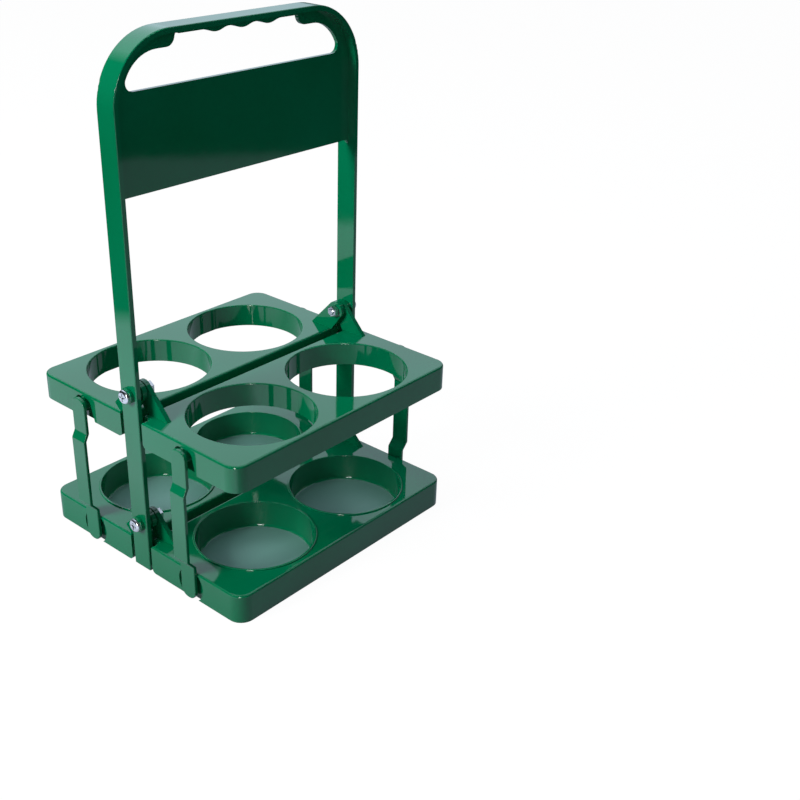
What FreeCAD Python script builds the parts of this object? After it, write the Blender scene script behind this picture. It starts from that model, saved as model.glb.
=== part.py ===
import FreeCAD, Part
import math
import os
import Sketcher
from FreeCAD import Placement, Rotation, Vector

# Foldable carrier for four large bottles. Two tray halves and two top plates hang on an
# upright handle and fold up flat beside it, each pair kept parallel by two side struts.
# X runs along the pivots, Y across the two halves, which part at Y = 0, and Z is up.

os.makedirs("parts", exist_ok=True)
doc = FreeCAD.newDocument("bottle_carrier")
sheet = doc.addObject("Spreadsheet::Sheet", "sizes")


class Size:
    """A number that remembers the spreadsheet formula it comes from."""

    def __init__(self, value, text=None):
        self.value = float(value)
        self.text = text if text is not None else repr(float(value))

    def __add__(self, other):
        other = as_size(other)
        return Size(self.value + other.value, f"({self.text} + {other.text})")

    def __sub__(self, other):
        other = as_size(other)
        return Size(self.value - other.value, f"({self.text} - {other.text})")

    def __mul__(self, other):
        other = as_size(other)
        return Size(self.value * other.value, f"({self.text} * {other.text})")

    def __truediv__(self, other):
        other = as_size(other)
        return Size(self.value / other.value, f"({self.text} / {other.text})")

    def __neg__(self):
        return Size(-self.value, f"(0 - {self.text})")

    def root(self):
        return Size(math.sqrt(self.value), f"sqrt({self.text})")


def as_size(number):
    return number if isinstance(number, Size) else Size(number)


row_count = 0


def size(name, value, note):
    """Put one driving size into the sheet and return it."""
    global row_count
    row_count += 1
    sheet.set(f"A{row_count}", name)
    sheet.set(f"B{row_count}", str(value))
    sheet.set(f"C{row_count}", note)
    sheet.setAlias(f"B{row_count}", name)
    return Size(value, "sizes." + name)


# Overall shape
carrier_width = size("carrier_width", 222, "across the legs, along the pivots")
carrier_depth = size("carrier_depth", 212, "across both halves, unfolded")
carrier_height = size("carrier_height", 382, "ground to the top of the handle")
split_gap = size("split_gap", 9.5, "between the inner rims of the two halves")
corner_round = size("corner_round", 11, "outer corners of plates and trays, in plan")
edge_round = size("edge_round", 1.8, "top edges of plates and trays")
wall = size("wall", 2.5, "moulded wall of plates and trays")
moving_gap = size("moving_gap", 0.3, "air between neighbouring pieces that move")
pin_clearance = size("pin_clearance", 0.06, "radial, for a turning pin in its hole")
open_clearance = size("open_clearance", 0.25, "radial, for the loose upper strut pin")

# Top plates
plate_top = size("plate_top", 125, "height of the plate's upper face")
plate_rim = size("plate_rim", 20, "depth of the plate's rim")
bottle_hole = size("bottle_hole", 92, "hole that holds a bottle's body upright")
hole_spacing = size("hole_spacing", 98, "between the two holes of a half")
hole_row = size("hole_row", 55.5, "from the split to the holes' centres")
collar_wall = size("collar_wall", 3.2, "collar that hangs around each hole")
collar_short = size("collar_short", 1.5, "the collar stops this far above the rim's foot")

# Trays
tray_top = size("tray_top", 22.5, "height of the tray's deck")
cup_mouth = size("cup_mouth", 88, "cup diameter at the deck")
cup_base = size("cup_base", 86.4, "cup diameter at its floor")
cup_floor = size("cup_floor", 1.9, "height of the cup's floor")
floor_wall = size("floor_wall", 1.7, "thickness of the cup's floor")
cup_wall = size("cup_wall", 2.2, "wall of the cup")
lip_height = size("lip_height", 1, "raised lip around the cup")
lip_width = size("lip_width", 1.8, "width of that lip")
rib_wall = size("rib_wall", 2, "stiffening ribs under the deck")

# Pivots and ears
upper_pivot = size("upper_pivot", 142, "height of the plates' pivot")
lower_pivot = size("lower_pivot", 37.6, "height of the trays' pivot")
ear_wall = size("ear_wall", 3.5, "thickness of each ear")
ear_inset = size("ear_inset", 6.9, "from the carrier's side to the outer face of the outer ear")
ear_air = size("ear_air", 1, "air between the two ears at a pivot")
ear_foot = size("ear_foot", 22.3, "length of the ear's foot on the deck")
ear_round = size("ear_round", 7.2, "radius of the ear's end around its pivot")
notch_half = size("notch_half", 11.5, "half width of the notch around the leg")
notch_round = size("notch_round", 3.5, "rounding of the rim's lower corner at the notch")

# Handle
leg_width = size("leg_width", 17.4, "width of the handle's band")
leg_wall = size("leg_wall", 3.6, "thickness of the handle's band")
handle_round = size("handle_round", 47, "outer corners of the handle")
band_edge = size("band_edge", 0.9, "rounding of the band's long edges")
web_wall = size("web_wall", 3, "panel in the middle of the band")
panel_drop = size("panel_drop", 36.8, "from the handle's top down to the panel's upper edge")
panel_tall = size("panel_tall", 65.9, "height of the panel under the hand hole")
panel_corner = size("panel_corner", 3, "rounding between the panel's lower edge and the legs")
hand_margin = size("hand_margin", 13, "from the carrier's side to the end of the hand hole")
hand_round = size("hand_round", 28.4, "large rounding of the hand hole's shoulders")
shoulder_drop = size("shoulder_drop", 13.3, "from the handle's top down to the hole's shoulders")
shoulder_run = size("shoulder_run", 41.7, "from the hole's end to the step up to the finger grip")
step_round = size("step_round", 7, "rounding of that step")
hand_corner = size("hand_corner", 5.5, "lower corners of the hand hole")
grip_wall = size("grip_wall", 10.5, "thickness of the finger grip under the band")
grip_depth = size("grip_depth", 5.3, "from the handle's top to the grip's plain edge")
wave_depth = size("wave_depth", 6.45, "from the handle's top to the middle of the finger waves")
grip_wave = size("grip_wave", 2, "half height of the waves before rounding")
grip_pitch = size("grip_pitch", 23.5, "distance from wave to wave")
grip_round = size("grip_round", 14, "rounding of the waves")
boss_round = size("boss_round", 5.9, "radius of the pivot bosses on the leg")
boss_out = size("boss_out", 2.8, "the boss stands this far out of the leg")
boss_edge = size("boss_edge", 0.7, "rounding of the boss")

# Pivot screws and nuts
screw_round = size("screw_round", 2.5, "radius of the screw")
head_round = size("head_round", 5.2, "radius of the pan head")
head_high = size("head_high", 2.8, "height of the pan head")
head_crown = size("head_crown", 1.9, "rounding of the pan head")
screw_stick = size("screw_stick", 5.5, "the screw's end stands this far inside the inner ear")
recess_arm = size("recess_arm", 2.9, "half length of the cross recess")
recess_half = size("recess_half", 0.55, "half width of the cross recess")
recess_deep = size("recess_deep", 1.5, "depth of the cross recess")
nut_flats = size("nut_flats", 8, "across the nut's flats")
nut_high = size("nut_high", 4.3, "height of the nut")
nut_edge = size("nut_edge", 0.5, "chamfer of the nut's faces")

# Struts
pin_row = size("pin_row", 54.6, "from the split to the strut pins")
pin_drop = size("pin_drop", 27, "the strut pins lie this far below the pivots")
strut_wall = size("strut_wall", 2.3, "thickness of the strut")
strut_width = size("strut_width", 14.4, "width of the strut")
strut_end = size("strut_end", 7, "the strut ends this far above its upper pin")
strut_foot = size("strut_foot", 9.9, "the strut ends this far below its lower pin")
strut_round = size("strut_round", 6.6, "rounding of the strut's ends")
upper_stand = size("upper_stand", 2.7, "the strut's upper end stands this far off the plate's rim")
middle_stand = size("middle_stand", 5.6, "the middle of the strut stands this far off the rims")
strut_edge = size("strut_edge", 0.6, "rounding of the strut's long edges")
bend_round = size("bend_round", 2, "rounding of the strut's bends")
upper_bend = size("upper_bend", 20.4, "from the upper pin down to the upper bend")
upper_ramp = size("upper_ramp", 5.6, "length of the upper bend")
lower_bend = size("lower_bend", 18.4, "from the lower pin up to the lower bend")
lower_ramp = size("lower_ramp", 6.2, "length of the lower bend")
strut_boss = size("strut_boss", 5, "radius of the boss behind each end")
pin_round = size("pin_round", 2.5, "radius of the snap pins")
snap_round = size("snap_round", 3.2, "radius of the snap head")
snap_high = size("snap_high", 1.9, "length of the snap head")
snap_slit = size("snap_slit", 1.2, "slit through the snap head")
plate_recess = size("plate_recess", 3, "depth of the strut's recess in a plate's side")
recess_top = size("recess_top", 6.6, "the plate's recess rises this far above the pin")
recess_narrow = size("recess_narrow", 7.7, "half width of the plate's recess at its top")
recess_wide = size("recess_wide", 12, "half width of the plate's recess at its foot")
recess_round = size("recess_round", 5.5, "rounding of that recess's top corners")
tray_recess = size("tray_recess", 2.2, "depth of the strut's round recess in a tray's side")
tray_disc = size("tray_disc", 12.8, "radius of that recess")

half_width = carrier_width / 2
half_depth = carrier_depth / 2
inner_face = split_gap / 2
notch_face = half_width - ear_inset
outer_ear = notch_face - ear_wall
inner_ear = outer_ear - ear_air - ear_wall
screw_end = inner_ear - screw_stick
hand_side = half_width - hand_margin
hand_step = hand_side - shoulder_run
leg_face = half_width - leg_wall
boss_face = half_width + boss_out
plate_pin = upper_pivot - pin_drop
tray_pin = lower_pivot - pin_drop
panel_high = carrier_height - panel_drop
panel_low = panel_high - panel_tall
hand_shoulder = carrier_height - shoulder_drop
grip_edge = carrier_height - grip_depth
grip_middle = carrier_height - wave_depth
zero = Size(0.0)


def new_body(label):
    body = doc.addObject("PartDesign::Body", label)
    body.Label = label
    return body


def new_sketch(body, name, plane, shift=(zero, zero, zero)):
    """A sketch on one of the body's own planes, shifted by sizes from the sheet."""
    sketch = body.newObject("Sketcher::SketchObject", body.Name + "_" + name)
    support = [f for f in body.Origin.OriginFeatures if f.Role == plane][0]
    sketch.AttachmentSupport = [(support, "")]
    sketch.MapMode = "FlatFace"
    for axis, amount in zip("xyz", shift):
        if amount.text != zero.text:
            sketch.setExpression("AttachmentOffset.Base." + axis, amount.text)
    return sketch


def hold(rules, geometry, end, x, y):
    """Tie one point of a sketch to sizes from the sheet."""
    for kind, amount, axis in (("DistanceX", x, -2), ("DistanceY", y, -1)):
        if abs(amount.value) < 1e-9:
            rules.append((Sketcher.Constraint("PointOnObject", geometry, end, axis), None))
        else:
            rules.append((Sketcher.Constraint(kind, -1, 1, geometry, end, amount.value), amount))


def set_radius(rules, geometry, radius):
    rules.append((Sketcher.Constraint("Radius", geometry, radius.value), radius))


def apply_rules(sketch, rules):
    """Add the tangencies first, then the rest in one go, each size with its formula."""
    for rule, amount in rules:
        if rule.Type == "Tangent":
            sketch.addConstraint(rule)
    rules = [pair for pair in rules if pair[0].Type != "Tangent"]
    first = sketch.ConstraintCount
    sketch.addConstraint([rule for rule, amount in rules])
    for number, (rule, amount) in enumerate(rules):
        if amount is not None:
            sketch.setExpression(f"Constraints[{first + number}]", amount.text)


def step_from(spot, other, length):
    """The point that lies the given length from the spot towards the other one."""
    dx, dy = other[0] - spot[0], other[1] - spot[1]
    if abs(dx.value) < 1e-9:
        return spot[0], spot[1] + length * math.copysign(1, dy.value)
    if abs(dy.value) < 1e-9:
        return spot[0] + length * math.copysign(1, dx.value), spot[1]
    far = (dx * dx + dy * dy).root()
    return spot[0] + dx / far * length, spot[1] + dy / far * length


def cut_back(spot, last, following, radius):
    """How far from a corner its rounding touches the two sides."""
    ax, ay = last[0] - spot[0], last[1] - spot[1]
    bx, by = following[0] - spot[0], following[1] - spot[1]
    if min(abs(ax.value), abs(ay.value)) < 1e-9 and min(abs(bx.value), abs(by.value)) < 1e-9:
        return radius
    lengths = ((ax * ax + ay * ay) * (bx * bx + by * by)).root()
    cosine = (ax * bx + ay * by) / lengths
    return radius * ((cosine + 1) / (-cosine + 1)).root()


def outline(sketch, corners):
    """A closed outline through corners (x, y) or (x, y, rounding)."""
    spots = [(as_size(c[0]), as_size(c[1])) for c in corners]
    count = len(corners)
    before = []
    after = []
    for i in range(count):
        if len(corners[i]) == 2:
            before.append(spots[i])
            after.append(spots[i])
            continue
        last, following = spots[i - 1], spots[(i + 1) % count]
        reach = cut_back(spots[i], last, following, as_size(corners[i][2]))
        before.append(step_from(spots[i], last, reach))
        after.append(step_from(spots[i], following, reach))
    rules = []
    lines = []
    for i in range(count):
        start, stop = [Vector(x.value, y.value, 0) for x, y in (after[i], before[(i + 1) % count])]
        lines.append(sketch.addGeometry(Part.LineSegment(start, stop), False))
    for i in range(count):
        hold(rules, lines[i], 1, *after[i])
        if len(corners[i]) == 2:
            rules.append((Sketcher.Constraint("Coincident", lines[i - 1], 2, lines[i], 1), None))
            continue
        hold(rules, lines[i - 1], 2, *before[i])
        radius = as_size(corners[i][2])
        start, stop = [Vector(x.value, y.value, 0) for x, y in (before[i], after[i])]
        corner = Vector(spots[i][0].value, spots[i][1].value, 0)
        inward = (start + stop) * 0.5 - corner
        centre = corner + inward.normalize() * math.hypot(radius.value, (start - corner).Length)
        first = 1 if (start - centre).cross(stop - centre).z > 0 else 2
        low, high = (start, stop) if first == 1 else (stop, start)
        from_angle, to_angle = [math.atan2(*(p - centre)[1::-1]) for p in (low, high)]
        if to_angle < from_angle:
            to_angle += 2 * math.pi
        ring = Part.Circle(centre, Vector(0, 0, 1), radius.value)
        arc = sketch.addGeometry(Part.ArcOfCircle(ring, from_angle, to_angle), False)
        rules.append((Sketcher.Constraint("Coincident", lines[i - 1], 2, arc, first), None))
        rules.append((Sketcher.Constraint("Coincident", arc, 3 - first, lines[i], 1), None))
        set_radius(rules, arc, radius)
    apply_rules(sketch, rules)


def rectangle(sketch, low_x, low_y, high_x, high_y):
    outline(sketch, [(low_x, low_y), (high_x, low_y), (high_x, high_y), (low_x, high_y)])


def circle(sketch, x, y, radius):
    x, y = as_size(x), as_size(y)
    ring = Part.Circle(Vector(x.value, y.value, 0), Vector(0, 0, 1), radius.value)
    index = sketch.addGeometry(ring, False)
    rules = []
    hold(rules, index, 3, x, y)
    set_radius(rules, index, radius)
    apply_rules(sketch, rules)


def pad(body, sketch, length, reverse=False):
    feature = body.newObject("PartDesign::Pad", sketch.Name + "_pad")
    feature.Profile = sketch
    feature.Length = length.value
    feature.setExpression("Length", length.text)
    feature.Reversed = reverse
    sketch.Visibility = False
    return feature


def pocket(body, sketch, length, reverse=False):
    feature = body.newObject("PartDesign::Pocket", sketch.Name + "_cut")
    feature.Profile = sketch
    feature.Length = length.value
    feature.setExpression("Length", length.text)
    feature.Reversed = reverse
    sketch.Visibility = False
    return feature


def revolve(body, sketch, axis):
    feature = body.newObject("PartDesign::Revolution", sketch.Name + "_turn")
    feature.Profile = sketch
    feature.ReferenceAxis = (sketch, [axis])
    feature.Angle = 360
    sketch.Visibility = False
    return feature


def round_edges(body, name, radius, wanted, kind="Fillet"):
    """Round or chamfer the edges of the body's last shape that the test picks out."""
    doc.recompute()
    base = body.Tip
    picked = [f"Edge{i + 1}" for i, edge in enumerate(base.Shape.Edges) if wanted(edge)]
    if not picked:
        raise RuntimeError(f"{body.Label}: no edge for {name}")
    feature = body.newObject("PartDesign::" + kind, body.Name + "_" + name)
    feature.Base = (base, picked)
    target = "Radius" if kind == "Fillet" else "Size"
    setattr(feature, target, radius.value)
    feature.setExpression(target, radius.text)
    return feature


def near(value, amount):
    return abs(value - amount.value) < 1e-4


def ends(edge):
    return [v.Point for v in edge.Vertexes]


# Handle: one moulded band bent into an upside-down U, with a panel and a hand hole
def make_handle():
    body = new_body("handle_frame")
    half_band = leg_width / 2
    inner_round = handle_round - leg_wall
    under_band = carrier_height - leg_wall
    band = new_sketch(body, "band", "XZ_Plane", (zero, zero, -half_band))
    outline(band, [
        (-half_width, 0), (-half_width, carrier_height, handle_round),
        (half_width, carrier_height, handle_round), (half_width, 0),
        (leg_face, 0), (leg_face, under_band, inner_round),
        (-leg_face, under_band, inner_round), (-leg_face, 0)])
    pad(body, band, leg_width)
    def outer_edge(edge):
        outside = all(near(abs(p.x), half_width) or near(p.z, carrier_height) for p in ends(edge))
        return outside and ends(edge)[0].y * ends(edge)[-1].y > 1 and max(p.z for p in ends(edge)) > 5

    round_edges(body, "edges", band_edge, outer_edge)

    middle = half_width - leg_wall / 2
    middle_top = carrier_height - leg_wall / 2
    web_low = panel_high - 12
    shift = (zero, zero, -web_wall / 2)
    web = new_sketch(body, "web", "XZ_Plane", shift)
    outline(web, [
        (-middle, web_low), (-middle, middle_top, handle_round - leg_wall / 2),
        (middle, middle_top, handle_round - leg_wall / 2), (middle, web_low)])
    low = grip_middle - grip_wave
    high = grip_middle + grip_wave
    run_out = grip_pitch * 1.4
    hole_low = panel_high - 6
    grip_end = hand_step - 2
    waves = [(-run_out, grip_edge, grip_round)]
    for step in range(-2, 3):
        level = high if step % 2 else low
        waves.append((grip_pitch * (step / 2), level, grip_round))
    waves.append((run_out, grip_edge, grip_round))
    outline(web, [(-hand_side, hole_low), (-hand_side, hand_shoulder, hand_round),
                  (-hand_step, hand_shoulder, step_round), (-grip_end, grip_edge, step_round * 0.3)]
            + waves
            + [(grip_end, grip_edge, step_round * 0.3), (hand_step, hand_shoulder, step_round),
               (hand_side, hand_shoulder, hand_round), (hand_side, hole_low)])
    pad(body, web, web_wall)

    grip = new_sketch(body, "grip", "XZ_Plane", (zero, zero, -grip_wall / 2))
    outline(grip, [(-grip_end, middle_top), (-grip_end, grip_edge)] + waves
            + [(grip_end, grip_edge), (grip_end, middle_top)])
    pad(body, grip, grip_wall)

    panel = new_sketch(body, "panel", "XZ_Plane", shift)
    rectangle(panel, -middle, panel_low, middle, panel_high)
    pad(body, panel, web_wall)

    def hole_corner(edge):
        a, b = ends(edge)[0], ends(edge)[-1]
        along_y = abs(a.x - b.x) < 1e-4 and abs(a.z - b.z) < 1e-4
        return along_y and near(a.z, panel_high) and hand_step.value < abs(a.x) < hand_side.value + 1

    def panel_foot(edge):
        a, b = ends(edge)[0], ends(edge)[-1]
        along_y = abs(a.x - b.x) < 1e-4 and abs(a.z - b.z) < 1e-4
        return along_y and near(a.z, panel_low) and near(abs(a.x), leg_face)

    round_edges(body, "hole_corners", hand_corner, hole_corner)
    round_edges(body, "panel_corners", panel_corner, panel_foot)

    for side in (-1, 1):
        start = notch_face + moving_gap if side > 0 else -boss_face
        boss = new_sketch(body, "boss_" + ("right" if side > 0 else "left"), "YZ_Plane",
                          (zero, zero, start))
        for height in (upper_pivot, lower_pivot):
            circle(boss, 0, height, boss_round)
        pad(body, boss, boss_face - notch_face - moving_gap)
    round_edges(body, "boss_edges", boss_edge,
                lambda e: isinstance(e.Curve, Part.Circle) and near(abs(e.Curve.Center.x), boss_face))
    bore = new_sketch(body, "bore", "YZ_Plane", (zero, zero, boss_face + 5))
    for height in (upper_pivot, lower_pivot):
        circle(bore, 0, height, screw_round + pin_clearance)
    pocket(body, bore, boss_face * 2 + 10)
    return body


def half_outline(inset):
    """Plan of one half, with a notch around each leg, drawn inside by the inset."""
    side = half_width - inset
    notch = notch_face - inset
    outer = half_depth - inset
    near_edge = inner_face + inset
    notch_edge = notch_half + inset
    rounding = corner_round - inset
    return [(-side, -outer, rounding), (side, -outer, rounding), (side, -notch_edge),
            (notch, -notch_edge), (notch, -near_edge), (-notch, -near_edge),
            (-notch, -notch_edge), (-side, -notch_edge)]


def make_shell(label, top, depth):
    """The open-bottomed moulding that plates and trays share."""
    body = new_body(label)
    block = new_sketch(body, "block", "XY_Plane", (zero, zero, top - depth))
    outline(block, half_outline(zero))
    pad(body, block, depth)
    round_edges(body, "top_edges", edge_round, lambda e: all(near(p.z, top) for p in ends(e)))
    hollow = new_sketch(body, "hollow", "XY_Plane", (zero, zero, top - depth))
    outline(hollow, half_outline(wall))
    pocket(body, hollow, depth - wall, reverse=True)
    foot = top - depth
    corner = notch_round
    for side in (-1, 1):
        name = "notch_right" if side > 0 else "notch_left"
        cut = new_sketch(body, name, "YZ_Plane", (zero, zero, half_width * side))
        outline(cut, [
            (-notch_half + 1, foot - 1), (-notch_half + 1, foot + corner * 2),
            (-notch_half, foot + corner * 2), (-notch_half, foot, corner),
            (-notch_half - corner * 2, foot), (-notch_half - corner * 2, foot - 1)])
        pocket(body, cut, half_width - notch_face, reverse=side < 0)
    return body


def add_ears(body, top, pivot):
    """Two ears: the outer one on the right, the inner one on the left."""
    rise = (pivot - top).value
    reach = ear_round.value
    for name, start in (("right_ear", outer_ear), ("left_ear", -inner_ear - ear_wall)):
        ear = new_sketch(body, name, "YZ_Plane", (zero, zero, start))
        base = top - wall / 2
        near_end = -inner_face
        far_end = -inner_face - ear_foot
        centre = Vector(0, pivot.value, 0)
        touch = []
        for foot, turn in ((near_end.value, 1), (far_end.value, -1)):
            foot_point = Vector(foot, base.value, 0) - centre
            far = foot_point.Length
            along = foot_point * (reach * reach / far ** 2)
            across = Vector(-foot_point.y, foot_point.x, 0)
            across = across * (reach * math.sqrt(far ** 2 - reach ** 2) / far ** 2)
            touch.append(centre + along + across * turn)
        over = centre + Vector(-0.5, 0.8, 0).normalize() * reach
        lines = [Part.LineSegment(Vector(far_end.value, base.value, 0),
                                  Vector(near_end.value, base.value, 0)),
                 Part.LineSegment(Vector(near_end.value, base.value, 0), touch[0]),
                 Part.Arc(touch[0], over, touch[1]),
                 Part.LineSegment(touch[1], Vector(far_end.value, base.value, 0))]
        for line in lines:
            ear.addGeometry(line, False)
        rules = [(Sketcher.Constraint("Coincident", 0, 2, 1, 1), None),
                 (Sketcher.Constraint("Tangent", 1, 2, 2, 1), None),
                 (Sketcher.Constraint("Tangent", 2, 2, 3, 1), None),
                 (Sketcher.Constraint("Coincident", 3, 2, 0, 1), None)]
        hold(rules, 0, 1, far_end, base)
        hold(rules, 0, 2, near_end, base)
        hold(rules, 2, 3, zero, pivot)
        set_radius(rules, 2, ear_round)
        apply_rules(ear, rules)
        pad(body, ear, ear_wall)
        bore = new_sketch(body, name + "_bore", "YZ_Plane", (zero, zero, start + ear_wall + 1))
        circle(bore, 0, pivot, screw_round + pin_clearance)
        pocket(body, bore, ear_wall + 2)


def pin_holes(body, height, depth, clearance):
    """A hole for a strut's snap pin through each side wall."""
    for side in (-1, 1):
        name = "pin_right" if side > 0 else "pin_left"
        hole = new_sketch(body, name, "YZ_Plane", (zero, zero, (half_width + 1) * side))
        circle(hole, -pin_row, height, pin_round + clearance)
        pocket(body, hole, depth + wall + 2, reverse=side < 0)


# Top plate: a shallow tray turned upside down, with a collared hole for each bottle
def make_plate(label, placement):
    body = make_shell(label, plate_top, plate_rim)
    foot = plate_top - plate_rim
    for side in (-1, 1):
        name = "right" if side > 0 else "left"
        inner = half_width - plate_recess - wall
        start = inner if side > 0 else -(half_width - wall / 2)
        block = new_sketch(body, "backing_" + name, "YZ_Plane", (zero, zero, start))
        rectangle(block, -(pin_row + recess_wide + wall), foot, -(pin_row - recess_wide - wall),
                  plate_top - wall / 2)
        pad(body, block, plate_recess + wall / 2)
        recess = new_sketch(body, "recess_" + name, "YZ_Plane", (zero, zero, half_width * side))
        crown = plate_pin + recess_top
        outline(recess, [
            (-(pin_row + recess_wide), foot), (-(pin_row + recess_narrow), crown, recess_round),
            (-(pin_row - recess_narrow), crown, recess_round), (-(pin_row - recess_wide), foot)])
        pocket(body, recess, plate_recess, reverse=side < 0)
    for side in (-1, 1):
        collar = new_sketch(body, "collar_%d" % (side + 1), "XY_Plane", (zero, zero, foot + collar_short))
        circle(collar, hole_spacing * (side / 2), -hole_row, bottle_hole / 2 + collar_wall)
        pad(body, collar, plate_rim - collar_short - wall / 2)
    holes = new_sketch(body, "holes", "XY_Plane", (zero, zero, plate_top + 1))
    for side in (-1, 1):
        circle(holes, hole_spacing * (side / 2), -hole_row, bottle_hole / 2)
    pocket(body, holes, plate_rim + 2)
    round_edges(body, "hole_edges", edge_round / 2,
                lambda e: isinstance(e.Curve, Part.Circle) and near(e.Curve.Radius, bottle_hole / 2)
                and near(e.Curve.Center.z, plate_top))
    pin_holes(body, plate_pin, plate_recess, open_clearance)
    add_ears(body, plate_top, upper_pivot)
    body.Placement = placement
    return body


# Bottle tray: the same moulding with two round cups let into its deck
def make_tray(label, placement):
    body = make_shell(label, tray_top, tray_top)
    for side in (-1, 1):
        name = "right" if side > 0 else "left"
        inner = half_width - tray_recess - wall
        start = inner if side > 0 else -(half_width - wall / 2)
        block = new_sketch(body, "backing_" + name, "YZ_Plane", (zero, zero, start))
        rectangle(block, -(pin_row + tray_disc + wall), 0, -(pin_row - tray_disc - wall),
                  tray_top - wall / 2)
        pad(body, block, tray_recess + wall / 2)
        disc = new_sketch(body, "disc_" + name, "YZ_Plane", (zero, zero, half_width * side))
        circle(disc, -pin_row, tray_pin, tray_disc)
        pocket(body, disc, tray_recess, reverse=side < 0)
    mouths = new_sketch(body, "mouths", "XY_Plane", (zero, zero, tray_top + 1))
    for side in (-1, 1):
        circle(mouths, hole_spacing * (side / 2), -hole_row, cup_mouth / 2)
    pocket(body, mouths, wall + 2)
    floor_under = cup_floor - floor_wall
    for side in (-1, 1):
        name = "cup_right" if side > 0 else "cup_left"
        cup = new_sketch(body, name, "XZ_Plane", (hole_spacing * (side / 2), zero, hole_row))
        outline(cup, [
            (0, floor_under), (cup_base / 2 + cup_wall, floor_under, cup_wall),
            (cup_mouth / 2 + cup_wall, tray_top - wall / 2),
            (cup_mouth / 2 + lip_width, tray_top - wall / 4),
            (cup_mouth / 2 + lip_width, tray_top + lip_height, lip_height / 2),
            (cup_mouth / 2, tray_top + lip_height, lip_height / 2),
            (cup_base / 2, cup_floor, cup_wall), (0, cup_floor)])
        revolve(body, cup, "V_Axis")
    ribs = new_sketch(body, "ribs", "XY_Plane", (zero, zero, floor_under))
    between = hole_spacing / 2 - cup_base / 2 - cup_wall / 2
    rectangle(ribs, -between, -hole_row - rib_wall / 2, between, -hole_row + rib_wall / 2)
    cup_side = cup_base / 2 + cup_wall / 2
    for side in (-1, 1):
        middle = hole_spacing * (side / 2)
        left, right = middle - rib_wall / 2, middle + rib_wall / 2
        rectangle(ribs, left, -(half_depth - wall / 2), right, -(hole_row + cup_side))
        rectangle(ribs, left, -(hole_row - cup_side), right, -(inner_face + wall / 2))
    pad(body, ribs, tray_top - floor_under - wall / 2)
    pin_holes(body, tray_pin, tray_recess, pin_clearance)
    add_ears(body, tray_top, lower_pivot)
    body.Placement = placement
    return body


# Strut: a dog-legged strip with a snap pin at each end, drawn for the right-hand side
def make_strut(label, placement):
    body = new_body(label)
    low_in = half_width + moving_gap
    high_in = half_width + upper_stand
    mid_in = half_width + middle_stand
    top = plate_pin + strut_end
    foot = tray_pin - strut_foot
    levels = [plate_pin - upper_bend, plate_pin - upper_bend - upper_ramp,
              tray_pin + lower_bend + lower_ramp, tray_pin + lower_bend]
    strip = new_sketch(body, "strip", "XZ_Plane", (zero, zero, -strut_width / 2))
    inside = [(high_in, levels[0]), (mid_in, levels[1]), (mid_in, levels[2]), (low_in, levels[3])]
    outline(strip, [(low_in, foot)]
            + [(x, z, bend_round) for x, z in reversed(inside)]
            + [(high_in, top), (high_in + strut_wall, top)]
            + [(x + strut_wall, z, bend_round) for x, z in inside]
            + [(low_in + strut_wall, foot)])
    pad(body, strip, strut_width)

    def end_corner(edge):
        a, b = ends(edge)[0], ends(edge)[-1]
        return near(a.y * b.y, strut_width * strut_width / 4) and any(
            near(a.z, level) and near(b.z, level) for level in (top, foot))

    round_edges(body, "ends", strut_round, end_corner)

    def outer_edge(edge):
        a, b = ends(edge)[0], ends(edge)[-1]
        beside = near(a.y * b.y, strut_width * strut_width / 4)
        faces = (high_in + strut_wall, mid_in + strut_wall, low_in + strut_wall)
        return beside and any(near(a.x, face) and near(b.x, face) for face in faces)

    round_edges(body, "long_edges", strut_edge, outer_edge)
    for name, height, floor_depth, back in (("upper_pin", plate_pin, plate_recess, high_in),
                                            ("lower_pin", tray_pin, tray_recess, low_in)):
        recess_floor = half_width - floor_depth
        head_face = recess_floor - wall - moving_gap
        tip = head_face - snap_high
        root = back + strut_wall / 2
        boss_foot = recess_floor + moving_gap
        pin = new_sketch(body, name, "XZ_Plane", (zero, height, zero))
        shape = [(tip, 0), (tip, pin_round * 0.8), (head_face - snap_high * 0.25, snap_round),
                 (head_face, snap_round), (head_face, pin_round), (boss_foot, pin_round),
                 (boss_foot, strut_boss), (root, strut_boss)]
        outline(pin, shape + [(root, 0)])
        revolve(body, pin, "H_Axis")
        slit = new_sketch(body, name + "_slit", "XY_Plane", (zero, zero, height + snap_round + 1))
        rectangle(slit, tip - 1, -snap_slit / 2, head_face + wall / 2, snap_slit / 2)
        pocket(body, slit, snap_round * 2 + 2)
    body.Placement = placement
    return body


# Pivot screw with a pan head and a cross recess, drawn for the right-hand side
def make_screw(label, placement):
    body = new_body(label)
    profile = new_sketch(body, "profile", "XZ_Plane")
    top = boss_face + head_high
    outline(profile, [
        (screw_end, 0), (screw_end, screw_round * 0.8), (screw_end + 0.5, screw_round),
        (boss_face, screw_round), (boss_face, head_round), (top, head_round, head_crown), (top, 0)])
    revolve(body, profile, "H_Axis")
    cross = new_sketch(body, "cross", "YZ_Plane", (zero, zero, top))
    arm, half = recess_arm, recess_half
    outline(cross, [(half, half), (half, arm), (-half, arm), (-half, half), (-arm, half),
                    (-arm, -half), (-half, -half), (-half, -arm), (half, -arm), (half, -half),
                    (arm, -half), (arm, half)])
    pocket(body, cross, recess_deep)
    body.Placement = placement
    return body


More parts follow.
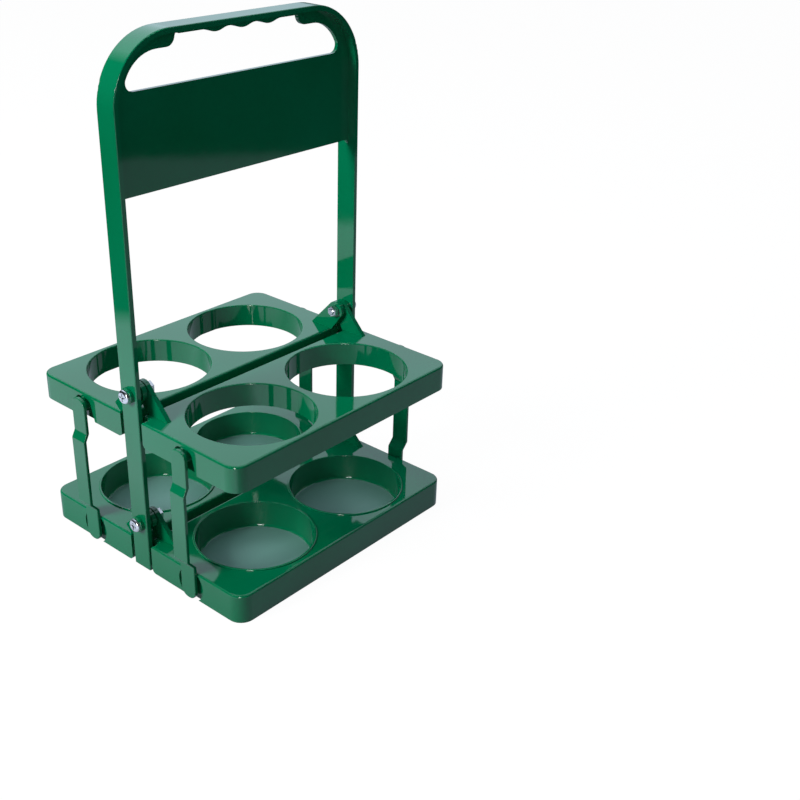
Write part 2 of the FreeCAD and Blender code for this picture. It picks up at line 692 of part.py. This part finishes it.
# Hexagon nut against the inner ear
def make_nut(label, placement):
    body = new_body(label)
    start = inner_ear - moving_gap - nut_high
    hexagon = new_sketch(body, "hexagon", "YZ_Plane", (zero, zero, start))
    flat = nut_flats / 2
    tip = nut_flats * (1 / math.sqrt(3))
    outline(hexagon, [(flat, tip / 2), (0, tip), (-flat, tip / 2),
                      (-flat, -tip / 2), (0, -tip), (flat, -tip / 2)])
    pad(body, hexagon, nut_high)
    round_edges(body, "edges", nut_edge, lambda e: near(ends(e)[0].x, start)
                and near(ends(e)[1].x, start), kind="Chamfer")
    bore = new_sketch(body, "bore", "YZ_Plane", (zero, zero, start + nut_high + 1))
    circle(bore, 0, 0, screw_round + pin_clearance)
    pocket(body, bore, nut_high + 2)
    body.Placement = placement
    return body


def place(x, y, z, turn=0):
    return Placement(Vector(x, y, z), Rotation(Vector(0, 0, 1), turn))


pieces = [make_handle()]
for end, turn in (("front", 0), ("rear", 180)):
    pieces.append(make_plate(end + "_top_plate", place(0, 0, 0, turn)))
    pieces.append(make_tray(end + "_bottle_tray", place(0, 0, 0, turn)))
    row = -pin_row if end == "front" else pin_row
    for side, strut_turn in (("left", 180), ("right", 0)):
        strut = make_strut(end + "_" + side + "_strut", place(0, row.value, 0, strut_turn))
        strut.setExpression("Placement.Base.y", row.text)
        pieces.append(strut)
for level, pivot in (("upper", upper_pivot), ("lower", lower_pivot)):
    for side, turn in (("left", 180), ("right", 0)):
        for make, kind in ((make_screw, "screw"), (make_nut, "nut")):
            piece = make(side + "_" + level + "_" + kind, place(0, 0, pivot.value, turn))
            piece.setExpression("Placement.Base.z", pivot.text)
            pieces.append(piece)

doc.recompute()
for item in doc.Objects:
    if "Invalid" in item.State or "Error" in item.State:
        raise RuntimeError(f"{item.Name}: {item.State}")
for piece in pieces:
    if piece.Shape.isNull() or not piece.Shape.isValid() or len(piece.Shape.Solids) != 1:
        raise RuntimeError(f"{piece.Label}: not one valid solid")
for piece in pieces:
    piece.Shape.exportStep(f"parts/{piece.Label}.step")
    print(piece.Label, round(piece.Shape.Volume / 1000, 1), "cm3")
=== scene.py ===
# %% [markdown]
# # A foldable bottle carrier in glossy green plastic
#
# The carrier is a set of injection mouldings held together by four screws. Its shapes come from
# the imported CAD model, which is loaded as a fixed frame. This lesson gives those shapes their
# finish: a polished green polypropylene, and bright zinc-plated steel for the fasteners.
# It then lights them as a plain studio would and places the camera of the photograph.

# %% Load the frame
import math

import bpy
import numpy as np
from mathutils import Matrix, Vector

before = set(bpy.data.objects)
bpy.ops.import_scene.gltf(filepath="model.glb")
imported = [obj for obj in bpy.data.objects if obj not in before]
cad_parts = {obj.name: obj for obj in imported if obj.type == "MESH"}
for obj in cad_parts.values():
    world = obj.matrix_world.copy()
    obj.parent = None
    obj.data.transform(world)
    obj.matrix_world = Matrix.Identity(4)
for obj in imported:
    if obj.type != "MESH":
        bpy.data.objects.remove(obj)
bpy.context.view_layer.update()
print("nodes", sorted(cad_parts))

# %% [markdown]
# ## Small helpers
#
# Colours are easiest to read from a photograph as sRGB hex values, but shaders mix light, so they
# want linear values. The first helper turns one into the other. The second adds a node to a
# material with its settings and links in one line, so that each material below reads as a list.
# The third measures along a direction, and the last starts a material.


# %% Helpers for colours and nodes
def linear(hex_colour):
    """Each sRGB channel c becomes c/12.92 below 0.04045 and ((c + 0.055)/1.055)^2.4 above."""
    channels = np.array([int(hex_colour[i:i + 2], 16) for i in (1, 3, 5)]) / 255
    low, high = channels / 12.92, ((channels + 0.055) / 1.055) ** 2.4
    return (*np.where(channels <= 0.04045, low, high).tolist(), 1.0)


def add(tree, kind, settings=None, links=None):
    """Add one node: settings are its properties or socket values, links feed its sockets."""
    node = tree.nodes.new(kind)
    for name, value in (settings or {}).items():
        if hasattr(node, name):
            setattr(node, name, value)
        else:
            node.inputs[name].default_value = value
    for name, source in (links or {}).items():
        tree.links.new(source, node.inputs[name])
    return node


def reach(tree, place, way):
    """How far a place, or a direction, reaches along a way: their dot product."""
    product = add(tree, "ShaderNodeVectorMath", {"operation": "DOT_PRODUCT"}, {0: place})
    product.inputs[1].default_value = way
    return product.outputs["Value"]


def new_material(name):
    """An empty node material and its tree."""
    material = bpy.data.materials.new(name)
    material.use_nodes = True
    material.node_tree.nodes.clear()
    return material, material.node_tree


print("bottle green", [round(c, 3) for c in linear("#007A50")])

# %% [markdown]
# ## The green moulding
#
# Polypropylene moulded against a polished steel tool comes out as glossy as the steel. Three small
# things keep it from looking like a mirror. Thick and thin places shrink differently, so flat
# faces undulate by a few hundredths of a millimetre over 20 to 40 mm, which bends reflections.
# Handling leaves very fine scuffs that widen the highlight a little in patches. And the pigment
# is not stirred perfectly, so the green drifts a shade over a hand's width. The floors of the
# cups, 1.9 mm above the ground, are textured by electrical discharge in the tool: fine pits
# scatter the light, so they come out satin. The pale sheen of that scattered light is painted
# into their colour as a paler grey-green. They are found by their height and by facing upwards.


# %% Polished polypropylene
CUP_FLOOR = 0.0019
CUP_FLOOR_BAND = 0.00015


def polished_polypropylene():
    """Glossy green that drifts a shade, and satin cup floors with a painted pale sheen."""
    material, tree = new_material("polished_green_polypropylene")
    spot = add(tree, "ShaderNodeTexCoord")
    place = spot.outputs["Object"]
    drift = add(tree, "ShaderNodeTexNoise", {"Scale": 9.0, "Detail": 2.0}, {"Vector": place})
    colour = add(tree, "ShaderNodeValToRGB", None, {"Fac": drift.outputs["Fac"]})
    colour.color_ramp.elements[0].position = 0.35
    colour.color_ramp.elements[0].color = linear("#007549")
    colour.color_ramp.elements[1].position = 0.65
    colour.color_ramp.elements[1].color = linear("#007F54")
    scuffs = add(tree, "ShaderNodeTexNoise", {"Scale": 160.0, "Detail": 6.0, "Roughness": 0.65},
                 {"Vector": place})
    rough = add(tree, "ShaderNodeMapRange", {"From Min": 0.35, "From Max": 0.75, "To Min": 0.035,
                                             "To Max": 0.08}, {"Value": scuffs.outputs["Fac"]})
    height = add(tree, "ShaderNodeSeparateXYZ", None, {"Vector": place}).outputs["Z"]
    level = add(tree, "ShaderNodeMath", {"operation": "COMPARE"}, {0: height})
    level.inputs[1].default_value = CUP_FLOOR
    level.inputs[2].default_value = CUP_FLOOR_BAND
    upward = add(tree, "ShaderNodeSeparateXYZ", None, {"Vector": spot.outputs["Normal"]})
    spark_and_sheen = add(tree, "ShaderNodeMath", {"operation": "MULTIPLY", "use_clamp": True},
                {0: level.outputs[0], 1: upward.outputs["Z"]})
    # Painted sheen: the cup floors are mixed towards a paler grey-green that stands in for the light
    # their texture scatters; the same mask also raises their roughness.
    painted_sheen_colour = add(tree, "ShaderNodeMixRGB", {"Color2": linear("#6A988E")},
               {"Fac": spark_and_sheen.outputs[0], "Color1": colour.outputs["Color"]})
    finish = add(tree, "ShaderNodeMapRange", {"To Max": 0.45},
                 {"Value": spark_and_sheen.outputs[0], "To Min": rough.outputs["Result"]})
    shrink = add(tree, "ShaderNodeTexNoise", {"Scale": 32.0, "Detail": 1.0}, {"Vector": place})
    bump = add(tree, "ShaderNodeBump", {"Strength": 0.20, "Distance": 0.0003},
               {"Height": shrink.outputs["Fac"]})
    shader = add(tree, "ShaderNodeBsdfPrincipled", {"IOR": 1.49},
                 {"Base Color": painted_sheen_colour.outputs["Color"], "Roughness": finish.outputs["Result"],
                  "Normal": bump.outputs["Normal"]})
    add(tree, "ShaderNodeOutputMaterial", None, {"Surface": shader.outputs["BSDF"]})
    return material


green = polished_polypropylene()
print("made", green.name)

# %% [markdown]
# ## The fasteners
#
# The screws and nuts are zinc-plated steel. Plating follows the fine turning marks of the head, so
# the metal shows a faint grain about a tenth of a millimetre wide. It is drawn at 0.3 mm, the
# finest that still shows at this distance.


# %% Zinc-plated steel
def plated_steel():
    """Bright metal with a faint grain."""
    material, tree = new_material("zinc_plated_steel")
    place = add(tree, "ShaderNodeTexCoord").outputs["Object"]
    grain = add(tree, "ShaderNodeTexNoise", {"Scale": 3300.0, "Detail": 2.0}, {"Vector": place})
    rough = add(tree, "ShaderNodeMapRange", {"To Min": 0.18, "To Max": 0.34},
                {"Value": grain.outputs["Fac"]})
    tint = add(tree, "ShaderNodeTexNoise", {"Scale": 400.0}, {"Vector": place})
    colour = add(tree, "ShaderNodeValToRGB", None, {"Fac": tint.outputs["Fac"]})
    colour.color_ramp.elements[0].color = linear("#C4C6C9")
    colour.color_ramp.elements[1].color = linear("#DCDDDE")
    bump = add(tree, "ShaderNodeBump", {"Strength": 0.3, "Distance": 0.00002},
               {"Height": grain.outputs["Fac"]})
    shader = add(tree, "ShaderNodeBsdfPrincipled", {"Metallic": 1.0},
                 {"Base Color": colour.outputs["Color"], "Roughness": rough.outputs["Result"],
                  "Normal": bump.outputs["Normal"]})
    add(tree, "ShaderNodeOutputMaterial", None, {"Surface": shader.outputs["BSDF"]})
    return material


steel = plated_steel()
print("made", steel.name)

# %% [markdown]
# ## Dressing the CAD pieces
#
# Each CAD piece keeps its shape and gets the finish of its material slot.

# %% Give every node its finish
for name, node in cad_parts.items():
    finish = steel if name.endswith(("screw", "nut")) else green
    for slot in node.material_slots:
        slot.material = finish
    print(name, len(node.data.polygons), "triangles,", finish.name)

# %% [markdown]
# ## The floor and the white surroundings
#
# The photograph was taken on white and cut out, but the glossy plastic still shows what stood
# around it. The faces that look left reflect a bright sheet that ends about half a metre behind
# the carrier: above that height the leg turns plain green. Close to the carrier the sheet lies in
# its shade. The faces that look to the front reflect a dimmer sheet that ends a metre away, which
# is the pale patch low on the panel, and beyond it a dark room. So the camera sees white
# everywhere and reflections see those two sheets. For the lamps' light the floor is a grey
# surface, and a fifth of it shows to the camera, so the carrier keeps a soft shadow.


# %% The floor
SHEET_WAY = (-0.768, 0.640, 0.0)
SHEET_END, SHEET_FADE, SHEET_LEVEL = 0.52, 0.04, 1.0
SHADE_START, SHADE_END, SHADE_LEVEL = -0.111, -0.19, 0.40
FRONT_WAY = (0.6, -0.8, 0.0)
FRONT_END, FRONT_FADE, FRONT_LEVEL = 1.0, 0.05, 0.35
CHANGE_START, CHANGE_END = -0.02, 0.05
DARK_LEVEL = 0.01
CAMERA_GLOW, CAMERA_SHARE = 1.21, 0.80
PLAIN_WHITE = (1.0, 1.0, 1.0, 1.0)
COOL_WHITE = (0.99, 1.12, 1.36, 1.0)
FLOOR_HALF = 6.0


def studio_white():
    """White for the camera, two sheets for reflections and grey paper for the lamps."""
    material, tree = new_material("studio_white_sheet")
    path = add(tree, "ShaderNodeLightPath")
    place = add(tree, "ShaderNodeTexCoord").outputs["Object"]
    along = reach(tree, place, SHEET_WAY)
    sheet = add(tree, "ShaderNodeMapRange",
                {"From Min": SHEET_END + SHEET_FADE, "From Max": SHEET_END,
                 "To Min": DARK_LEVEL, "To Max": SHEET_LEVEL}, {"Value": along})
    beside = add(tree, "ShaderNodeSeparateXYZ", None, {"Vector": place})
    near = add(tree, "ShaderNodeMapRange", {"From Min": SHADE_START, "From Max": SHADE_END,
                                            "To Min": SHADE_LEVEL, "To Max": 1.0},
               {"Value": beside.outputs["X"]})
    left = add(tree, "ShaderNodeMath", {"operation": "MULTIPLY"},
               {0: near.outputs["Result"], 1: sheet.outputs["Result"]})
    ahead = reach(tree, place, FRONT_WAY)
    right = add(tree, "ShaderNodeMapRange",
                {"From Min": FRONT_END + FRONT_FADE, "From Max": FRONT_END,
                 "To Min": DARK_LEVEL, "To Max": FRONT_LEVEL}, {"Value": ahead})
    front = add(tree, "ShaderNodeMapRange", {"From Min": CHANGE_START, "From Max": CHANGE_END},
                {"Value": along, "To Min": right.outputs["Result"], "To Max": left.outputs[0]})
    glow_level = add(tree, "ShaderNodeMapRange", {"To Min": CAMERA_GLOW},
                     {"Value": path.outputs["Is Glossy Ray"], "To Max": front.outputs["Result"]})
    camera_share = add(tree, "ShaderNodeMapRange", {"To Min": 0.0, "To Max": CAMERA_SHARE},
                       {"Value": path.outputs["Is Camera Ray"]})
    share = add(tree, "ShaderNodeMapRange", {"To Max": 1.0},
                {"Value": path.outputs["Is Glossy Ray"], "To Min": camera_share.outputs["Result"]})
    tint = add(tree, "ShaderNodeMixRGB", {"Color1": PLAIN_WHITE, "Color2": COOL_WHITE},
               {"Fac": path.outputs["Is Glossy Ray"]})
    paper = add(tree, "ShaderNodeBsdfDiffuse", {"Color": linear("#949494")})
    glow = add(tree, "ShaderNodeEmission", None, {"Strength": glow_level.outputs["Result"],
                                                  "Color": tint.outputs["Color"]})
    mix = add(tree, "ShaderNodeMixShader", None,
              {"Fac": share.outputs["Result"], 1: paper.outputs[0], 2: glow.outputs[0]})
    add(tree, "ShaderNodeOutputMaterial", None, {"Surface": mix.outputs[0]})
    return material


floor_mesh = bpy.data.meshes.new("studio_floor")
corners = [(x * FLOOR_HALF, y * FLOOR_HALF, 0) for x, y in ((-1, -1), (1, -1), (1, 1), (-1, 1))]
floor_mesh.from_pydata(corners, [], [(0, 1, 2, 3)])
floor_mesh.materials.append(studio_white())
floor = bpy.data.objects.new("studio_floor", floor_mesh)
bpy.context.scene.collection.objects.link(floor)
print("floor ready, sheet ends", SHEET_END, "m from the middle")

# %% [markdown]
# ## The room
#
# Overhead and behind the carrier the reflections find a large bright cloth. It covers a cone of
# directions about one axis, so its level depends on the cosine between a reflected ray and that
# axis. Around it the room is dark. Matt surfaces get a weak, even light from all of the room.

# %% World
CLOTH_AXIS = Vector((0.45, 0.40, 0.80)).normalized()
CLOTH_RIM, CLOTH_FULL, CLOTH_LEVEL = 0.60, 0.76, 1.1
ROOM_LEVEL, MATT_LEVEL, BACKDROP_LEVEL = 0.02, 0.17, 1.02

world = bpy.data.worlds.new("studio_world")
bpy.context.scene.world = world
world.use_nodes = True
room = world.node_tree
room.nodes.clear()
path = add(room, "ShaderNodeLightPath")
place = add(room, "ShaderNodeTexCoord").outputs["Generated"]
cloth = add(room, "ShaderNodeMapRange", {"From Min": CLOTH_RIM, "From Max": CLOTH_FULL,
                                         "To Min": ROOM_LEVEL, "To Max": CLOTH_LEVEL},
            {"Value": reach(room, place, CLOTH_AXIS)})
matt_or_glossy = add(room, "ShaderNodeMapRange", {"To Min": MATT_LEVEL},
                     {"Value": path.outputs["Is Glossy Ray"], "To Max": cloth.outputs["Result"]})
level = add(room, "ShaderNodeMapRange", {"To Max": BACKDROP_LEVEL},
            {"Value": path.outputs["Is Camera Ray"], "To Min": matt_or_glossy.outputs["Result"]})
tint = add(room, "ShaderNodeMixRGB", {"Color1": COOL_WHITE, "Color2": PLAIN_WHITE},
           {"Fac": path.outputs["Is Camera Ray"]})
sky = add(room, "ShaderNodeBackground", None, {"Strength": level.outputs["Result"],
                                               "Color": tint.outputs["Color"]})
add(room, "ShaderNodeOutputWorld", None, {"Surface": sky.outputs[0]})
print("room ready")

# %% [markdown]
# ## Lamps
#
# The left faces are fully lit while the front is in shade, so the large key lamp stands on the
# left, a little behind, 30 degrees above the carrier. A weaker one overhead lifts the tops. Neither
# is seen in the flat faces: the cloth and the sheets do that. A tall softbox at the front left is
# only reflected, and draws the white highlights on rounded corners and on the screw heads.


# %% Studio lamps
def lamp(name, spot, aim_height, width, height, watts):
    """A rectangular lamp that faces the carrier's middle at the given height."""
    light = bpy.data.lights.new(name, "AREA")
    light.shape = "RECTANGLE"
    light.size = width
    light.size_y = height
    light.energy = watts
    thing = bpy.data.objects.new(name, light)
    direction = Vector((0, 0, aim_height)) - Vector(spot)
    turn = direction.to_track_quat("-Z", "Y").to_matrix().to_4x4()
    thing.matrix_world = Matrix.Translation(spot) @ turn
    bpy.context.scene.collection.objects.link(thing)
    return thing


key = lamp("key_lamp", (-2.3, 0.7, 1.5), aim_height=0.15, width=1.0, height=1.0, watts=60)
overhead = lamp("overhead_lamp", (-0.1, 0.25, 2.2), aim_height=0.15, width=1.2, height=1.2, watts=12)
key.visible_glossy = overhead.visible_glossy = False
softbox = lamp("edge_softbox", (-1.90, -1.40, 0.95), aim_height=0.25, width=0.45, height=1.5,
               watts=34)
softbox.visible_diffuse = False
print("lamps", key.data.energy, overhead.data.energy, softbox.data.energy, "W")

# %% [markdown]
# ## The camera of the photograph
#
# A camera is a place, a direction and a focal length. These were fitted to the corners, holes and
# screws seen in the photograph, to within one to three pixels. The camera stands at the front left,
# a little above the handle, and is turned by 1.8 degrees about its own axis.


# %% Camera
SENSOR_WIDTH = 36


def photo_camera(place, yaw, pitch, roll, focal_pixels, shift_pixels, frame_pixels=800):
    """Columns of the camera's matrix are its right, up and backward directions."""
    a, e, t = (math.radians(angle) for angle in (yaw, pitch, roll))
    backward = Vector((math.sin(a) * math.cos(e), -math.cos(a) * math.cos(e), math.sin(e)))
    right = Vector((math.cos(a), math.sin(a), 0))
    up = backward.cross(right)
    right, up = right * math.cos(t) + up * math.sin(t), up * math.cos(t) - right * math.sin(t)
    data = bpy.data.cameras.new("photo_camera")
    data.sensor_width = SENSOR_WIDTH
    data.lens = focal_pixels / frame_pixels * SENSOR_WIDTH
    data.shift_x = -shift_pixels[0] / frame_pixels
    data.shift_y = shift_pixels[1] / frame_pixels
    camera = bpy.data.objects.new("photo_camera", data)
    turn = Matrix((right, up, backward)).transposed().to_4x4()
    camera.matrix_world = Matrix.Translation(place) @ turn
    bpy.context.scene.collection.objects.link(camera)
    bpy.context.scene.camera = camera
    return camera


camera = photo_camera((-0.5447, -0.59474, 0.51414), yaw=-50.27, pitch=27.21, roll=1.8,
                      focal_pixels=1175.51, shift_pixels=(-8.16, -3.25))
print("lens", round(camera.data.lens, 1), "mm")

# %% [markdown]
# ## Plain view settings
#
# The Standard view transform shows colours as they are written.

# %% Finish
bpy.context.scene.view_settings.view_transform = "Standard"
